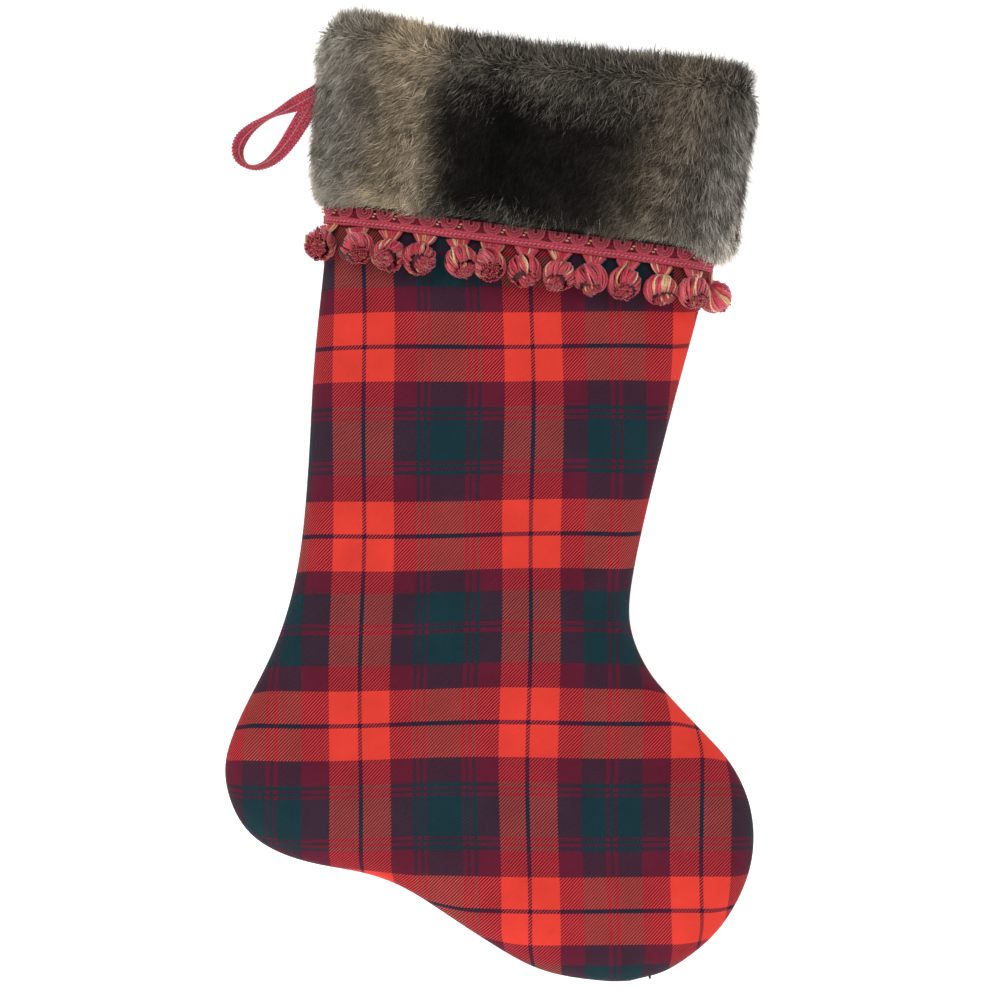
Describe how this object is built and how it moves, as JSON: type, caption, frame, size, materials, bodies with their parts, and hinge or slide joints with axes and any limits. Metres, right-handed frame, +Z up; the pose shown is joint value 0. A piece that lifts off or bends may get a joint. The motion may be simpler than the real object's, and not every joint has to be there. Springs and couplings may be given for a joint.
{
  "type": "hanging stocking",
  "caption": "Lined tartan cloth stocking with a deep faux-fur cuff, a swinging onion-tassel fringe under it and a flat braid loop to hang it by.",
  "frame": {"origin": "the hook's seat, inside the far bend of the hanging loop, as the loop lies out to the side", "axes": "+Z up the leg, +X from the heel side to the toe side, +Y from the front to the back"},
  "size_m": [0.2683, 0.0728, 0.4824],
  "materials": {
    "tartan": "brushed twill, checked red, crimson, bottle green and navy",
    "lining": "plain matte crimson lining cloth",
    "fur": "long faux-fur pile, charcoal with beige and grey bands",
    "ground": "knitted ground of the fur",
    "gimp": "woven gimp braid, raspberry with gold",
    "gold_thread": "shiny rayon thread",
    "tassel_yarn": "rayon yarn, raspberry with gold strands",
    "braid": "flat woven braid",
    "thread": "polyester sewing thread"
  },
  "bodies": {
    "stocking": {"front_panel": "tartan", "back_panel": "tartan", "front_lining": "lining", "back_lining": "lining", "seam_stitches": "thread", "cuff_ground": "ground", "cuff_fur": "fur", "front_facing": "fur", "back_facing": "fur", "fringe_header": "gimp", "header_stitches": "gold_thread", "loop_stitches": "thread"},
    "loop": {"loop_tack": "thread", "hanging_loop": "braid"},
    "tassel_01": {"tassel_01": "tassel_yarn"},
    "tassel_02": {"tassel_02": "tassel_yarn"},
    "tassel_03": {"tassel_03": "tassel_yarn"},
    "tassel_04": {"tassel_04": "tassel_yarn"},
    "tassel_05": {"tassel_05": "tassel_yarn"},
    "tassel_06": {"tassel_06": "tassel_yarn"},
    "tassel_07": {"tassel_07": "tassel_yarn"},
    "tassel_08": {"tassel_08": "tassel_yarn"},
    "tassel_09": {"tassel_09": "tassel_yarn"},
    "tassel_10": {"tassel_10": "tassel_yarn"},
    "tassel_11": {"tassel_11": "tassel_yarn"},
    "tassel_12": {"tassel_12": "tassel_yarn"},
    "tassel_13": {"tassel_13": "tassel_yarn"},
    "tassel_14": {"tassel_14": "tassel_yarn"},
    "tassel_15": {"tassel_15": "tassel_yarn"},
    "tassel_16": {"tassel_16": "tassel_yarn"},
    "tassel_17": {"tassel_17": "tassel_yarn"},
    "tassel_18": {"tassel_18": "tassel_yarn"},
    "tassel_19": {"tassel_19": "tassel_yarn"},
    "tassel_20": {"tassel_20": "tassel_yarn"},
    "tassel_21": {"tassel_21": "tassel_yarn"},
    "tassel_22": {"tassel_22": "tassel_yarn"},
    "tassel_23": {"tassel_23": "tassel_yarn"},
    "tassel_24": {"tassel_24": "tassel_yarn"}
  },
  "joints": [
    {"name": "loop_swing", "type": "hinge", "parent": "stocking", "child": "loop", "pos_m": [0.03939, 0, 0.03546], "axis": [0, 1, 0], "range_deg": [0, 105]},
    {"name": "tassel_01_swing", "type": "hinge", "parent": "stocking", "child": "tassel_01", "pos_m": [0.04317, -0.00462, -0.03256], "axis": [-0.6405, 0.7661, 0.0538], "range_deg": [0, 50]},
    {"name": "tassel_02_swing", "type": "hinge", "parent": "stocking", "child": "tassel_02", "pos_m": [0.05784, -0.01392, -0.03438], "axis": [-0.9242, 0.371, 0.0908], "range_deg": [0, 50]},
    {"name": "tassel_03_swing", "type": "hinge", "parent": "stocking", "child": "tassel_03", "pos_m": [0.07419, -0.01869, -0.03642], "axis": [-0.974, 0.2009, 0.1048], "range_deg": [0, 50]},
    {"name": "tassel_04_swing", "type": "hinge", "parent": "stocking", "child": "tassel_04", "pos_m": [0.09101, -0.02099, -0.03853], "axis": [-0.9903, 0.0761, 0.1161], "range_deg": [0, 50]},
    {"name": "tassel_05_swing", "type": "hinge", "parent": "stocking", "child": "tassel_05", "pos_m": [0.1079, -0.0214, -0.04064], "axis": [-0.992, 0, 0.1266], "range_deg": [0, 50]},
    {"name": "tassel_06_swing", "type": "hinge", "parent": "stocking", "child": "tassel_06", "pos_m": [0.1247, -0.0214, -0.04275], "axis": [-0.9906, 0, 0.1371], "range_deg": [0, 50]},
    {"name": "tassel_07_swing", "type": "hinge", "parent": "stocking", "child": "tassel_07", "pos_m": [0.1415, -0.0214, -0.04486], "axis": [-0.989, 0, 0.1479], "range_deg": [0, 50]},
    {"name": "tassel_08_swing", "type": "hinge", "parent": "stocking", "child": "tassel_08", "pos_m": [0.15829, -0.0214, -0.04697], "axis": [-0.9873, 0, 0.1589], "range_deg": [0, 50]},
    {"name": "tassel_09_swing", "type": "hinge", "parent": "stocking", "child": "tassel_09", "pos_m": [0.17512, -0.02138, -0.04909], "axis": [-0.9852, -0.0224, 0.1702], "range_deg": [0, 50]},
    {"name": "tassel_10_swing", "type": "hinge", "parent": "stocking", "child": "tassel_10", "pos_m": [0.19202, -0.0201, -0.05122], "axis": [-0.974, -0.1381, 0.1794], "range_deg": [0, 50]},
    {"name": "tassel_11_swing", "type": "hinge", "parent": "stocking", "child": "tassel_11", "pos_m": [0.20866, -0.01666, -0.05333], "axis": [-0.9426, -0.2788, 0.1837], "range_deg": [0, 50]},
    {"name": "tassel_12_swing", "type": "hinge", "parent": "stocking", "child": "tassel_12", "pos_m": [0.2245, -0.01017, -0.05535], "axis": [-0.8423, -0.5109, 0.1716], "range_deg": [0, 50]},
    {"name": "tassel_13_swing", "type": "hinge", "parent": "stocking", "child": "tassel_13", "pos_m": [0.23147, 0.0046, -0.05625], "axis": [0.6117, -0.7818, -0.1214], "range_deg": [0, 50]},
    {"name": "tassel_14_swing", "type": "hinge", "parent": "stocking", "child": "tassel_14", "pos_m": [0.2168, 0.01389, -0.05437], "axis": [0.9092, -0.3747, -0.1817], "range_deg": [0, 50]},
    {"name": "tassel_15_swing", "type": "hinge", "parent": "stocking", "child": "tassel_15", "pos_m": [0.20045, 0.01867, -0.05229], "axis": [0.9619, -0.2038, -0.1825], "range_deg": [0, 50]},
    {"name": "tassel_16_swing", "type": "hinge", "parent": "stocking", "child": "tassel_16", "pos_m": [0.18365, 0.02098, -0.05017], "axis": [0.9813, -0.0793, -0.1753], "range_deg": [0, 50]},
    {"name": "tassel_17_swing", "type": "hinge", "parent": "stocking", "child": "tassel_17", "pos_m": [0.16676, 0.0214, -0.04804], "axis": [0.9864, 0, -0.1646], "range_deg": [0, 50]},
    {"name": "tassel_18_swing", "type": "hinge", "parent": "stocking", "child": "tassel_18", "pos_m": [0.14996, 0.0214, -0.04593], "axis": [0.9882, 0, -0.1534], "range_deg": [0, 50]},
    {"name": "tassel_19_swing", "type": "hinge", "parent": "stocking", "child": "tassel_19", "pos_m": [0.13316, 0.0214, -0.04382], "axis": [0.9898, 0, -0.1425], "range_deg": [0, 50]},
    {"name": "tassel_20_swing", "type": "hinge", "parent": "stocking", "child": "tassel_20", "pos_m": [0.11636, 0.0214, -0.04171], "axis": [0.9913, 0, -0.1319], "range_deg": [0, 50]},
    {"name": "tassel_21_swing", "type": "hinge", "parent": "stocking", "child": "tassel_21", "pos_m": [0.09954, 0.02138, -0.0396], "axis": [0.9924, 0.019, -0.1215], "range_deg": [0, 50]},
    {"name": "tassel_22_swing", "type": "hinge", "parent": "stocking", "child": "tassel_22", "pos_m": [0.08263, 0.02012, -0.03748], "axis": [0.9846, 0.1352, -0.1107], "range_deg": [0, 50]},
    {"name": "tassel_23_swing", "type": "hinge", "parent": "stocking", "child": "tassel_23", "pos_m": [0.06599, 0.01669, -0.0354], "axis": [0.9562, 0.2757, -0.0984], "range_deg": [0, 50]},
    {"name": "tassel_24_swing", "type": "hinge", "parent": "stocking", "child": "tassel_24", "pos_m": [0.05015, 0.01019, -0.03342], "axis": [0.8591, 0.5055, -0.08], "range_deg": [0, 50]}
  ]
}
